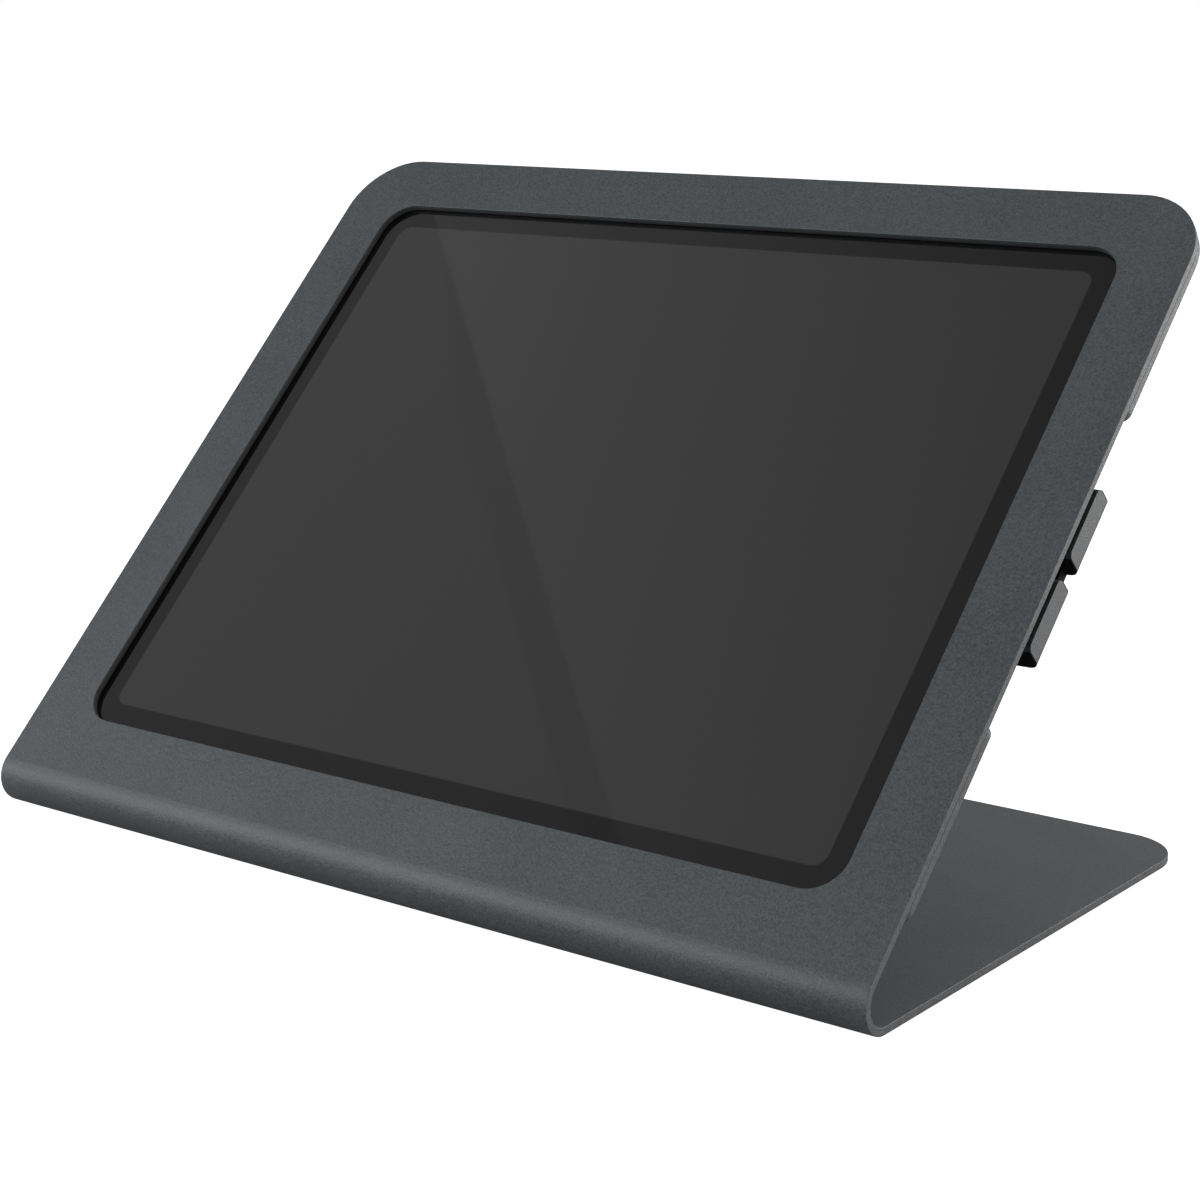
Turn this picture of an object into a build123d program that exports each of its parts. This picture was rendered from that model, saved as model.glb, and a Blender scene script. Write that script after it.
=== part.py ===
from build123d import *
import os
from math import cos, radians, sin, tan

# Touchscreen kiosk: a folded steel stand that holds a tablet behind a window.
# Millimetres. +Z is up, +X is to the right of a person facing the screen, and -Y is towards them.
# The origin is on the surface that the feet stand on, under the middle of the whole kiosk.

# ---- Stand ----
body_width = 318.5
base_depth = 182.5          # bend's front to the base's rear edge
panel_length = 252.2        # straight part of the leaning panel, from the bend to its top edge
panel_angle = 45.0          # between the base and the panel
sheet = 2.3                 # steel with its powder coat
bend_radius = 6.7           # inside radius of the front bend
panel_corner_radius = 22.0
base_corner_radius = 18.0
edge_break = 0.2            # rounding that the powder coat gives to cut edges

# ---- Window ----
window_width = 278.2
window_height = 212.35
window_from_bend = 19.75    # bend to the window's lower edge
window_corner_radius = 11.0

# ---- Feet and base screw holes ----
foot_radius = 8.0
foot_height = 1.6
foot_inset = 22.0           # base edge to a foot's centre
base_hole_spacing = 100.0
base_hole_radius = 2.75     # clears an M5 or number 10 screw

# ---- Tablet ----
tablet_width = 280.6
tablet_height = 214.9
tablet_thickness = 5.9
tablet_corner_radius = 13.0
tablet_back_rounding = 1.0
housing_wall = 1.6
housing_back = 0.7
glass_thickness = 0.7
glass_gap = 0.1             # round the glass, inside the housing's rim
glass_rim = 0.6             # housing rim outside the glass
gasket_thickness = 0.2
gasket_width = 2.4
display_width = 262.8
display_height = 197.1
display_border = 0.8        # display cell beyond its lit area, each side
display_thickness = 0.9
backlight_thickness = 1.2

# ---- Retainer ----
retainer_sheet = 2.3
retainer_bend_radius = 0.8
pad_thickness = 3.3         # foam between the tablet's back and the retainer
bumper_thickness = 1.7      # rubber between the tablet's edges and the retainer
upper_ear_length = 75.4
lower_ear_length = 58.5
lower_ear_start = 18.5      # bend to the lower ear's end
upper_ear_top_gap = 2.0     # panel's top edge to the upper ear's end
ear_corner_radius = 3.5
side_flange_length = 22.7
side_flange_gap = 7.1       # cable gap between a side's two flanges
side_flange_offset = 1.4    # window's middle up to the cable gap's middle
side_flange_panel_gap = 2.2 # panel's rear to a side flange's free edge
flange_corner_radius = 2.0
flange_relief = 4.2         # how far the cable gap reaches into the arm
web_notch = 8.0             # web edge set in from the ear walls beside each arm
notch_corner_radius = 3.0
web_lap = 12.0              # how far ears, arms and tabs run into the web
tab_length = 46.0
tab_spacing = 120.0
tab_panel_gap = 1.0         # panel's rear to a tab's free edge
camera_opening_radius = 11.0
vent_length = 58.0
vent_width = 5.0
vent_pitch = 12.0
vent_rows = 4
vent_column_pitch = 78.0
liner_width = 7.0           # rubber inside each side flange
liner_setback = 0.5         # flange's free edge to its liner
liner_end_thickness = 0.4   # liner's plates over the flange's cut ends
grommet_thickness = 1.2     # rubber on the web between the flanges
grommet_reach = 9.0
pad_width = 14.0
pad_length = 150.0
pad_offset = 122.0
pad_drop = 18.0             # side pads sit low, clear of the camera opening
side_bumper_length = 8.0
side_bumper_offset = 74.0

# ---- Fasteners ----
stud_radius = 2.0
stud_length = 7.6
stud_hole_clearance = 0.25
stud_end_inset = 14.0       # an ear's ends to its studs
washer_radius = 4.6
washer_thickness = 0.8
nut_radius = 3.9
nut_height = 3.2
nut_dome = 1.0
nut_pin_hole_radius = 0.6
nut_pin_hole_offset = 2.75
fit_clearance = 0.02        # nut and washer bore round a stud

# ---- Modelling allowances ----
overcut = 1.0               # how far a cutter runs past the face it opens
fillet_margin = 0.05        # kept off a rounding that would otherwise use up a whole side

# ---- Buttons ----
button_width = 2.2
button_clearance = 0.12
button_stand_out = 0.35
button_travel = 0.25
button_flange = 1.2         # inner lip beyond the button's slot
button_flange_thickness = 0.5
button_lip_gap = 0.2        # inner lip to the housing wall
power_button_length = 14.0
power_button_offset = 88.0  # tablet's middle to the power button
volume_button_length = 10.4
volume_up_offset = -112.0
volume_down_offset = -98.0
button_depth = 3.6          # glass front to a button's middle
switch_gap = 0.15           # button lip to its switch when pressed
switch_thickness = 1.4
switch_length = 4.8
switch_width = 2.4
plunger_length = 2.4
plunger_width = 1.2
plunger_height = 0.5
bracket_thickness = 0.8
bracket_overrun = 6.0       # bracket beyond the middle of its last switch

# ---- Tablet's port, speakers and cameras ----
port_width = 8.9
port_height = 3.0
port_length = 7.0
port_shell_wall = 0.3
port_clearance = 0.1
tongue_width = 6.6
tongue_thickness = 0.7
tongue_length = 5.0
speaker_width = 28.0
speaker_offset = 54.0
speaker_reach = 16.0
speaker_hole_radius = 0.6
speaker_hole_pitch = 2.6
speaker_hole_count = 9
speaker_corner_radius = 1.0
mesh_thickness = 0.3
mesh_width = 2.0
mesh_inset = 1.0            # speaker's end to its mesh
microphone_hole_radius = 0.6
front_camera_width = 4.0
front_camera_length = 8.0
ambient_sensor_size = 3.0
ambient_sensor_thickness = 1.0
ambient_sensor_offset = 8.5
camera_x = -126.0
camera_y = 93.0
camera_body_size = 10.2
camera_barrel_radius = 3.4
camera_hole_depth = 2.0
camera_ring_radius = 6.0
camera_ring_inner_radius = 4.2
camera_bump = 1.1
camera_lens_thickness = 0.5
camera_lens_recess = 0.05

# ---- Tablet's inner stack ----
air_gap = 0.3
cell_width = 224.0
cell_height = 72.0
cell_offset = 61.0
board_width = 200.0
board_height = 42.0
board_thickness = 0.8
board_lift = 0.2
shield_width = 62.0
shield_height = 34.0
shield_offset = 56.0
shield_wall = 0.2
shield_corner_radius = 1.0
processor_size = 17.0
memory_chip_width = 13.0
memory_chip_height = 10.0
memory_column_offset = 14.0
memory_row_offset = 8.0
flex_thickness = 0.2
flex_width = 7.0
display_flex_foot = 1.0
cell_corner_radius = 3.0
chip_gap = 0.15
board_screw_radius = 0.7
board_screw_inset = 3.0
board_hole_clearance = 0.1
microphone_offset = 60.0
microphone_length = 4.0
microphone_width = 2.0
magnet_length = 14.0
magnet_width = 3.2
magnet_pitch = 50.0
magnet_count = 4
antenna_strip_offset = 134.2
antenna_strip_width = 1.0
antenna_flex_length = 20.0
antenna_flex_offset = 82.0

# ---- Worked out from the sizes above ----
tilt = radians(panel_angle)
outer_bend_radius = bend_radius + sheet
bend_reach = outer_bend_radius * tan((radians(180) - tilt) / 2)
plate_z = foot_height
window_middle = window_from_bend + window_height / 2
half_tablet = tablet_width / 2
half_tablet_height = tablet_height / 2
inner_half_width = half_tablet - housing_wall
inner_half_height = half_tablet_height - housing_wall
gasket_inner_x = half_tablet - glass_rim - glass_gap - gasket_width
border_middle = (display_width / 2 + display_border + gasket_inner_x) / 2
back_inner_depth = tablet_thickness - housing_back
web_front_depth = sheet + tablet_thickness + pad_thickness
web_rear_depth = web_front_depth + retainer_sheet
wall_inner_x = half_tablet + bumper_thickness
half_body = body_width / 2
stud_x = (wall_inner_x + retainer_sheet + retainer_bend_radius + half_body) / 2
tablet_bottom = window_middle - half_tablet_height
tablet_top = window_middle + half_tablet_height
display_rear_depth = glass_thickness + display_thickness + backlight_thickness
upper_ear_end = panel_length - upper_ear_top_gap
lower_ear_end = lower_ear_start + lower_ear_length
upper_ear_start = upper_ear_end - upper_ear_length
arm_half = side_flange_gap / 2 + side_flange_length
arm_middle = window_middle + side_flange_offset
arm_inner_x = half_body - retainer_sheet
flange_front_depth = sheet + side_flange_panel_gap
ear_ends = (lower_ear_start, lower_ear_end, upper_ear_start)
# The kiosk's rearmost point is the retainer's upper edge, and the origin is midway to it.
overall_depth = (
    outer_bend_radius
    + (web_rear_depth - outer_bend_radius) * sin(tilt)
    + upper_ear_end * cos(tilt)
)
front_y = -overall_depth / 2
base_middle_y = front_y + base_depth / 2
board_rear_depth = back_inner_depth - board_lift
board_front_depth = board_rear_depth - board_thickness
board_screw_places = [
    (x, y)
    for x in (board_screw_inset - board_width / 2, board_width / 2 - board_screw_inset)
    for y in (board_screw_inset - board_height / 2, board_height / 2 - board_screw_inset)
]
port_rear_x = half_tablet - port_length
stud_places = [
    lower_ear_start + stud_end_inset,
    lower_ear_end - stud_end_inset,
    upper_ear_start + stud_end_inset,
    upper_ear_end - stud_end_inset,
]

# The panel's own frame: x to the right, y up the slant from the bend, z out of its front face.
panel_frame = Plane(
    origin=(
        0,
        front_y + outer_bend_radius * (1 - sin(tilt)),
        plate_z + outer_bend_radius * (1 + cos(tilt)),
    ),
    x_dir=(1, 0, 0),
    z_dir=(0, -sin(tilt), cos(tilt)),
)
# The tablet's frame: its middle, with z = 0 on its glass.
tablet_frame = Plane(
    origin=panel_frame.from_local_coords(Vector(0, window_middle, -sheet)),
    x_dir=(1, 0, 0),
    z_dir=panel_frame.z_dir,
)


def slab(low_x, high_x, low_y, high_y, low_depth, high_depth, corner=0.0):
    """A block between two depths below a frame's front face, with rounded upright corners."""
    block = Pos((low_x + high_x) / 2, (low_y + high_y) / 2, -(low_depth + high_depth) / 2) * Box(
        high_x - low_x, high_y - low_y, high_depth - low_depth
    )
    if corner:
        block = fillet(block.edges().filter_by(Axis.Z), corner)
    return block


def middle_slab(x, y, width, height, low_depth, high_depth, corner=0.0):
    """The same block, placed by its middle."""
    return slab(
        x - width / 2, x + width / 2, y - height / 2, y + height / 2, low_depth, high_depth, corner
    )


def disc(x, y, radius, low_depth, high_depth):
    return Pos(x, y, -(low_depth + high_depth) / 2) * Cylinder(radius, high_depth - low_depth)


def rounded_path(points, radii):
    """Straight runs through the points, with an arc of the given radius at each inner point."""
    places = [Vector(*point) for point in points]
    edges = []
    start = places[0]
    for before, corner, after, radius in zip(places, places[1:], places[2:], radii):
        way_in = (corner - before).normalized()
        way_out = (after - corner).normalized()
        turn = radians(way_in.get_angle(way_out))
        arc_start = corner - way_in * (radius * tan(turn / 2))
        arc_end = corner + way_out * (radius * tan(turn / 2))
        edges.append(Line(start, arc_start))
        to_middle = (way_out - way_in).normalized()
        arc_middle = corner + to_middle * (radius / cos(turn / 2) - radius)
        edges.append(ThreePointArc(arc_start, arc_middle, arc_end))
        start = arc_end
    edges.append(Line(start, places[-1]))
    return edges


def bent_sheet(points, thickness, inner_radius):
    """Section of a bent sheet that lies to the left of the path through the points."""
    places = [Vector(*point) for point in points]
    ways = [(after - before).normalized() for before, after in zip(places, places[1:])]
    sides = [Vector(-way.Y, way.X) for way in ways]
    offset_points = [places[0] + sides[0] * thickness]
    near_radii = []
    far_radii = []
    for corner, side_in, side_out, way_in, way_out in zip(places[1:], sides, sides[1:], ways, ways[1:]):
        share = side_in + side_out
        offset_points.append(corner + share * (thickness / (1 + side_in.dot(side_out))))
        turns_left = way_in.cross(way_out).Z > 0
        near_radii.append(inner_radius + (thickness if turns_left else 0))
        far_radii.append(inner_radius + (0 if turns_left else thickness))
    offset_points.append(places[-1] + sides[-1] * thickness)
    near = rounded_path([tuple(place) for place in places], near_radii)
    far = rounded_path([tuple(place) for place in offset_points], far_radii)
    ends = [Line(places[0], offset_points[0]), Line(places[-1], offset_points[-1])]
    return make_face(near + far + ends)


def both_sides(shape):
    """A shape and its mirror image across the kiosk's middle."""
    return [shape, mirror(shape, Plane.YZ)]


def make_folded_body():
    """Base, bend and panel in one sheet, with the window and the base's screw holes."""
    corner_y = front_y + outer_bend_radius - bend_reach
    panel_run = bend_reach + panel_length
    panel_top = (corner_y + panel_run * cos(tilt), plate_z + panel_run * sin(tilt))
    section = bent_sheet(
        [panel_top, (corner_y, plate_z), (front_y + base_depth, plate_z)], sheet, bend_radius
    )
    body = extrude(Plane.YZ * section, half_body, both=True)
    panel_normal = Axis((0, 0, 0), tuple(panel_frame.z_dir))
    body = fillet(body.edges().filter_by(panel_normal), panel_corner_radius)
    body = fillet(body.edges().filter_by(Axis.Z), base_corner_radius)
    window = middle_slab(
        0, window_middle, window_width, window_height, -sheet, 2 * sheet, window_corner_radius
    )
    body -= panel_frame.location * window
    # Every cut edge is rounded; the lines where the bend meets the flats run the full width.
    cut_edges = [
        edge for edge in body.edges() if 2 * sheet < edge.length and abs(edge.length - body_width) > 1
    ]
    body = fillet(cut_edges, edge_break)
    for x in (-base_hole_spacing / 2, base_hole_spacing / 2):
        for y in (-base_hole_spacing / 2, base_hole_spacing / 2):
            hole = Cylinder(base_hole_radius, 4 * sheet)
            body -= Pos(x, base_middle_y + y, plate_z) * hole
    return body


def make_rubber_feet():
    reach_x = half_body - foot_inset
    reach_y = base_depth / 2 - foot_inset
    foot = Pos(0, 0, foot_height / 2) * Cylinder(foot_radius, foot_height)
    foot = chamfer(foot.edges().group_by(Axis.Z)[0], foot_height / 4)
    places = [(x, y) for x in (-reach_x, reach_x) for y in (-reach_y, reach_y)]
    return [Pos(x, base_middle_y + y, 0) * foot for x, y in places]


def make_retainer_plate():
    """Web behind the tablet, ears on the panel, arms with side flanges, and edge tabs."""
    lap_x = wall_inner_x - web_notch - web_lap
    ear_section = bent_sheet(
        [
            (half_body, -sheet),
            (wall_inner_x, -sheet),
            (wall_inner_x, -web_front_depth),
            (lap_x, -web_front_depth),
        ],
        retainer_sheet,
        retainer_bend_radius,
    )
    ear_strip = extrude(Plane.XZ * ear_section, upper_ear_end - lower_ear_start, dir=(0, 1, 0))
    plate = middle_slab(
        0, window_middle, 2 * (lap_x + web_lap), tablet_height, web_front_depth, web_rear_depth
    )
    for strip in both_sides(Pos(0, lower_ear_start, 0) * ear_strip):
        plate += strip
    notch = slab(
        lap_x + web_lap, 2 * half_body, lower_ear_end, upper_ear_start, 0, 2 * web_rear_depth,
        notch_corner_radius,
    )
    for cutter in both_sides(notch):
        plate -= cutter

    arm_section = bent_sheet(
        [
            (arm_inner_x, -flange_front_depth),
            (arm_inner_x, -web_front_depth),
            (lap_x, -web_front_depth),
        ],
        retainer_sheet,
        retainer_bend_radius,
    )
    arm = Pos(0, arm_middle - arm_half, 0) * extrude(
        Plane.XZ * arm_section, 2 * arm_half, dir=(0, 1, 0)
    )
    cable_gap = slab(
        half_body - flange_relief, half_body + overcut, arm_middle - side_flange_gap / 2,
        arm_middle + side_flange_gap / 2, 0, 2 * web_rear_depth,
    )
    arm -= cable_gap
    arm = fillet(arm.edges().filter_by(Axis.X).group_by(Axis.Z)[-1], flange_corner_radius)
    for piece in both_sides(arm):
        plate += piece

    tab_free_z = -(sheet + tab_panel_gap)
    top_section = bent_sheet(
        [
            (tablet_top + bumper_thickness, tab_free_z),
            (tablet_top + bumper_thickness, -web_front_depth),
            (tablet_top - web_lap, -web_front_depth),
        ],
        retainer_sheet,
        retainer_bend_radius,
    )
    top_tab = extrude(Plane.YZ * top_section, tab_length / 2, both=True)
    bottom_tab = Pos(0, 2 * window_middle, 0) * mirror(top_tab, Plane.XZ)
    for tab in (top_tab, bottom_tab):
        for x in (-tab_spacing / 2, tab_spacing / 2):
            plate += Pos(x, 0, 0) * tab

    # The upper ears follow the panel's rounded corners.
    outline = slab(-half_body, half_body, lower_ear_start, upper_ear_end, 0, 2 * web_rear_depth)
    top_corners = outline.edges().filter_by(Axis.Z).group_by(Axis.Y)[-1]
    plate = plate & fillet(top_corners, panel_corner_radius - upper_ear_top_gap)
    ear_corners = [
        edge
        for edge in plate.edges().filter_by(Axis.Z)
        if abs(abs(edge.center().X) - half_body) < fillet_margin
        and min(abs(edge.center().Y - end) for end in ear_ends) < fillet_margin
    ]
    plate = fillet(ear_corners, ear_corner_radius)
    for y in stud_places:
        for x in (-stud_x, stud_x):
            plate -= disc(x, y, stud_radius + stud_hole_clearance, 0, 2 * sheet + retainer_sheet)
    plate -= disc(
        camera_x, window_middle + camera_y, camera_opening_radius, 0, 2 * web_rear_depth
    )
    vent = middle_slab(
        0, 0, vent_length, vent_width, web_front_depth - overcut, web_rear_depth + overcut,
        vent_width / 2 - fillet_margin,
    )
    first_vent = arm_half + vent_pitch * 1.5
    for row in range(vent_rows):
        for column in (-1, 0, 1):
            for side in (-1, 1):
                y = window_middle + side * (first_vent + row * vent_pitch)
                plate -= Pos(column * vent_column_pitch, y, 0) * vent
    return plate


def make_flange_liners():
    """Rubber that fills each side flange's fold and caps the flange's two cut ends."""
    low_x = arm_inner_x - liner_width
    web_tongue = slab(
        low_x - overcut, half_body - flange_relief, arm_middle - side_flange_gap / 2,
        arm_middle + side_flange_gap / 2, web_front_depth, web_rear_depth + overcut,
    )
    liners = []
    for side in (-1, 1):
        flange_middle = arm_middle + side * (side_flange_gap + side_flange_length) / 2
        low_y = flange_middle - side_flange_length / 2
        high_y = flange_middle + side_flange_length / 2
        filling = slab(
            low_x, arm_inner_x, low_y, high_y, flange_front_depth + liner_setback, web_front_depth
        )
        fold_edge = filling.edges().filter_by(Axis.Y).group_by(Axis.Z)[0].sort_by(Axis.X)[-1]
        liner = chamfer(fold_edge, retainer_bend_radius)
        for end_low_y in (low_y - liner_end_thickness, high_y):
            cap = slab(
                low_x, half_body, end_low_y, end_low_y + liner_end_thickness,
                flange_front_depth + flange_corner_radius, web_rear_depth,
            )
            fold_edge = cap.edges().filter_by(Axis.Y).group_by(Axis.Z)[0].sort_by(Axis.X)[-1]
            liner += fillet(fold_edge, retainer_bend_radius + retainer_sheet)
        liners += both_sides(liner - web_tongue)
    return liners


def make_cable_grommets():
    """Rubber on the web between the side flanges, turned down over the cable gap's cut edge."""
    edge_x = half_body - flange_relief
    half_length = side_flange_gap / 2 - liner_end_thickness
    cover = slab(
        edge_x - grommet_reach, edge_x + liner_end_thickness, arm_middle - half_length,
        arm_middle + half_length, web_front_depth - grommet_thickness, web_front_depth,
    )
    lip = slab(
        edge_x, edge_x + liner_end_thickness, arm_middle - half_length,
        arm_middle + half_length, web_front_depth, web_rear_depth,
    )
    return both_sides(cover + lip)


def make_back_pads():
    strips = [
        middle_slab(
            x, window_middle - pad_drop, pad_width, pad_length,
            web_front_depth - pad_thickness, web_front_depth,
        )
        for x in (-pad_offset, pad_offset)
    ]
    middle = middle_slab(
        0, window_middle, 2 * (pad_offset - pad_width), pad_width,
        web_front_depth - pad_thickness, web_front_depth,
    )
    return strips + [middle]


def make_side_bumpers():
    bumpers = []
    for y in (-side_bumper_offset, side_bumper_offset):
        bumper = middle_slab(
            half_tablet + bumper_thickness / 2, window_middle + y, bumper_thickness,
            side_bumper_length, sheet + tab_panel_gap, web_front_depth - pad_thickness,
        )
        bumpers += both_sides(bumper)
    return bumpers


def make_edge_bumpers():
    bumpers = []
    for y in (tablet_bottom - bumper_thickness / 2, tablet_top + bumper_thickness / 2):
        bumper = middle_slab(
            tab_spacing / 2, y, tab_length - bumper_thickness, bumper_thickness,
            sheet + tab_panel_gap, web_front_depth - pad_thickness,
        )
        bumpers += both_sides(bumper)
    return bumpers


def at_studs(shape):
    """Copies of a shape at each stud, both sides."""
    return [Pos(x, y, 0) * shape for y in stud_places for x in (-stud_x, stud_x)]


def make_panel_studs():
    stud = disc(0, 0, stud_radius, sheet, sheet + stud_length)
    stud = chamfer(stud.edges().sort_by(Axis.Z)[0], stud_radius / 5)
    return at_studs(stud)


def make_stud_washers():
    front = sheet + retainer_sheet
    washer = disc(0, 0, washer_radius, front, front + washer_thickness)
    washer -= disc(
        0, 0, stud_radius + fit_clearance, front - overcut, front + washer_thickness + overcut
    )
    return at_studs(washer)


def make_security_nuts():
    """Round nuts with a domed rim and two pin holes in place of flats."""
    front = sheet + retainer_sheet + washer_thickness
    rear = front + nut_height
    nut = disc(0, 0, nut_radius, front, rear)
    nut = fillet(nut.edges().sort_by(Axis.Z)[0], nut_dome)
    nut -= disc(0, 0, stud_radius + fit_clearance, front - overcut, rear + overcut)
    for x in (-nut_pin_hole_offset, nut_pin_hole_offset):
        nut -= disc(x, 0, nut_pin_hole_radius, rear - nut_height / 2, rear + overcut)
    return at_studs(nut)


# ---- Tablet, in its own frame: z = 0 on the glass, depths counted inwards ----


def to_left_side(shape):
    """Turns what is built at the tablet's top side so that it faces its left side."""
    return Rot(0, 0, 90) * shape


def make_button(offset, length, edge):
    """A button in the top side: a cap through the wall and a longer lip that keeps it in."""
    low = button_depth - button_width / 2
    high = button_depth + button_width / 2
    lip_outer = edge - housing_wall - button_lip_gap
    cap = slab(
        offset - length / 2, offset + length / 2, lip_outer, edge + button_stand_out, low, high
    )
    cap = fillet(cap.edges().filter_by(Axis.Y), button_width / 2 - fillet_margin)
    cap = fillet(cap.faces().sort_by(Axis.Y)[-1].edges(), button_stand_out / 2)
    lip = slab(
        offset - length / 2 - button_flange, offset + length / 2 + button_flange,
        lip_outer - button_flange_thickness, lip_outer, low, high,
    )
    return cap + lip


def button_slot(offset, length, edge):
    slot = slab(
        offset - length / 2 - button_clearance, offset + length / 2 + button_clearance,
        edge - 2 * housing_wall, edge + housing_wall,
        button_depth - button_width / 2 - button_clearance,
        button_depth + button_width / 2 + button_clearance,
    )
    return fillet(slot.edges().filter_by(Axis.Y), button_width / 2)


def make_switch(offset, edge):
    """A small switch that a button's lip reaches at the end of its travel."""
    outer = edge - housing_wall - button_lip_gap - button_flange_thickness - button_travel - switch_gap
    body = slab(
        offset - switch_length / 2, offset + switch_length / 2, outer - switch_thickness,
        outer - plunger_height, button_depth - switch_width / 2, button_depth + switch_width / 2,
    )
    plunger = slab(
        offset - plunger_length / 2, offset + plunger_length / 2, outer - plunger_height, outer,
        button_depth - plunger_width / 2, button_depth + plunger_width / 2,
    )
    return body + plunger


def make_switch_bracket(first, last, edge):
    """An upright strip on the housing's back that the switches stand against."""
    outer = (
        edge - housing_wall - button_lip_gap - button_flange_thickness - button_travel
        - switch_gap - switch_thickness
    )
    return slab(
        first - bracket_overrun, last + bracket_overrun, outer - bracket_thickness, outer,
        display_rear_depth, back_inner_depth,
    )


def make_tablet_housing():
    """An aluminium tray with a rim round the glass and openings in its edges and back."""
    housing = middle_slab(
        0, 0, tablet_width, tablet_height, 0, tablet_thickness, tablet_corner_radius
    )
    housing = fillet(housing.faces().sort_by(Axis.Z)[0].edges(), tablet_back_rounding)
    housing -= middle_slab(
        0, 0, 2 * inner_half_width, 2 * inner_half_height, -overcut, back_inner_depth,
        tablet_corner_radius - housing_wall,
    )
    housing -= middle_slab(
        0, 0, tablet_width - 2 * glass_rim, tablet_height - 2 * glass_rim, -overcut,
        glass_thickness + gasket_thickness, tablet_corner_radius - glass_rim,
    )
    port = slab(
        half_tablet - 2 * housing_wall, half_tablet + overcut, -port_width / 2 - port_clearance,
        port_width / 2 + port_clearance, button_depth - port_height / 2 - port_clearance,
        button_depth + port_height / 2 + port_clearance,
    )
    housing -= fillet(port.edges().filter_by(Axis.X), port_height / 2)
    for offset in (volume_up_offset, volume_down_offset):
        housing -= button_slot(offset, volume_button_length, half_tablet_height)
    housing -= to_left_side(button_slot(power_button_offset, power_button_length, half_tablet))
    hole = Rot(0, 90, 0) * Cylinder(speaker_hole_radius, 4 * housing_wall)
    for side in (-1, 1):
        for speaker in (-speaker_offset, speaker_offset):
            for step in range(speaker_hole_count):
                y = speaker + (step - (speaker_hole_count - 1) / 2) * speaker_hole_pitch
                housing -= Pos(side * half_tablet, y, -button_depth) * hole
    for x in (-microphone_offset, microphone_offset):
        hole = Rot(90, 0, 0) * Cylinder(microphone_hole_radius, 4 * housing_wall)
        housing -= Pos(x, half_tablet_height, -button_depth) * hole
    housing -= disc(
        camera_x, camera_y, camera_barrel_radius + air_gap, camera_hole_depth, 2 * tablet_thickness
    )
    for strip in make_antenna_strips():
        housing -= strip
    return housing


def make_antenna_strips():
    """Plastic inlays across the back that let radio waves out of the metal housing."""
    strip = middle_slab(
        antenna_strip_offset, 0, antenna_strip_width, tablet_height - 2 * tablet_corner_radius,
        tablet_thickness - housing_back / 2, tablet_thickness,
    )
    return both_sides(strip)


def glass_outline(low_depth, high_depth, inset=0.0):
    edge = glass_rim + glass_gap + inset
    return middle_slab(
        0, 0, tablet_width - 2 * edge, tablet_height - 2 * edge, low_depth, high_depth,
        tablet_corner_radius - edge,
    )


def make_display_gasket():
    rear = glass_thickness + gasket_thickness
    return glass_outline(glass_thickness, rear) - glass_outline(0, 2 * rear, gasket_width)


def make_display_cell():
    return middle_slab(
        0, 0, display_width + 2 * display_border, display_height + 2 * display_border,
        glass_thickness, glass_thickness + display_thickness,
    )


def make_backlight_unit():
    return middle_slab(
        0, 0, display_width + display_border, display_height + display_border,
        glass_thickness + display_thickness, display_rear_depth,
    )


def make_battery_cell(side):
    return middle_slab(
        0, side * cell_offset, cell_width, cell_height, display_rear_depth + air_gap,
        back_inner_depth, cell_corner_radius,
    )


def make_battery_flex():
    """A flat lead along both cells' ends, with a leg to the main board."""
    low = back_inner_depth - 2 * flex_thickness
    high = back_inner_depth - flex_thickness
    cell_end = -cell_width / 2
    bar = slab(cell_end - flex_width, cell_end, -cell_offset, cell_offset, low, high)
    leg = slab(cell_end, -board_width / 2, -flex_width / 2, flex_width / 2, low, high)
    return bar + leg


def make_main_board():
    board = middle_slab(0, 0, board_width, board_height, board_front_depth, board_rear_depth)
    for x, y in board_screw_places:
        board -= disc(x, y, board_screw_radius + board_hole_clearance, 0, tablet_thickness)
    return board


def make_board_screws():
    screws = []
    for x, y in board_screw_places:
        head = disc(x, y, 2 * board_screw_radius, board_front_depth - air_gap, board_front_depth)
        shank = disc(x, y, board_screw_radius, board_front_depth, back_inner_depth)
        screws.append(head + shank)
    return screws


def make_board_shields():
    """Two pressed cans, open towards the board, over its chips."""
    low = display_rear_depth + air_gap
    cans = []
    for x in (-shield_offset, shield_offset):
        can = middle_slab(
            x, 0, shield_width, shield_height, low, board_front_depth, shield_corner_radius
        )
        can -= middle_slab(
            x, 0, shield_width - 2 * shield_wall, shield_height - 2 * shield_wall,
            low + shield_wall, tablet_thickness, shield_corner_radius - shield_wall,
        )
        cans.append(can)
    return cans


def make_chip(x, y, width, height):
    low = display_rear_depth + air_gap + shield_wall + chip_gap
    return middle_slab(x, y, width, height, low, board_front_depth)


def make_display_flex():
    """The display's lead: a flat part on the backlight and a foot down to the board."""
    width = 2 * flex_width
    flat = slab(
        -width / 2, width / 2, -flex_width, flex_width, display_rear_depth,
        display_rear_depth + flex_thickness,
    )
    foot = slab(
        -width / 2, width / 2, -flex_width - display_flex_foot, -flex_width, display_rear_depth,
        board_front_depth,
    )
    return flat + foot


def make_port_shell():
    outer = slab(
        port_rear_x, port_rear_x + port_length, -port_width / 2, port_width / 2,
        button_depth - port_height / 2, button_depth + port_height / 2,
    )
    outer = fillet(outer.edges().filter_by(Axis.X), port_height / 2 - fillet_margin)
    half_inner = port_height / 2 - port_shell_wall
    inner = slab(
        port_rear_x + port_shell_wall, port_rear_x + 2 * port_length,
        port_shell_wall - port_width / 2, port_width / 2 - port_shell_wall,
        button_depth - half_inner, button_depth + half_inner,
    )
    return outer - fillet(inner.edges().filter_by(Axis.X), half_inner - fillet_margin)


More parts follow.
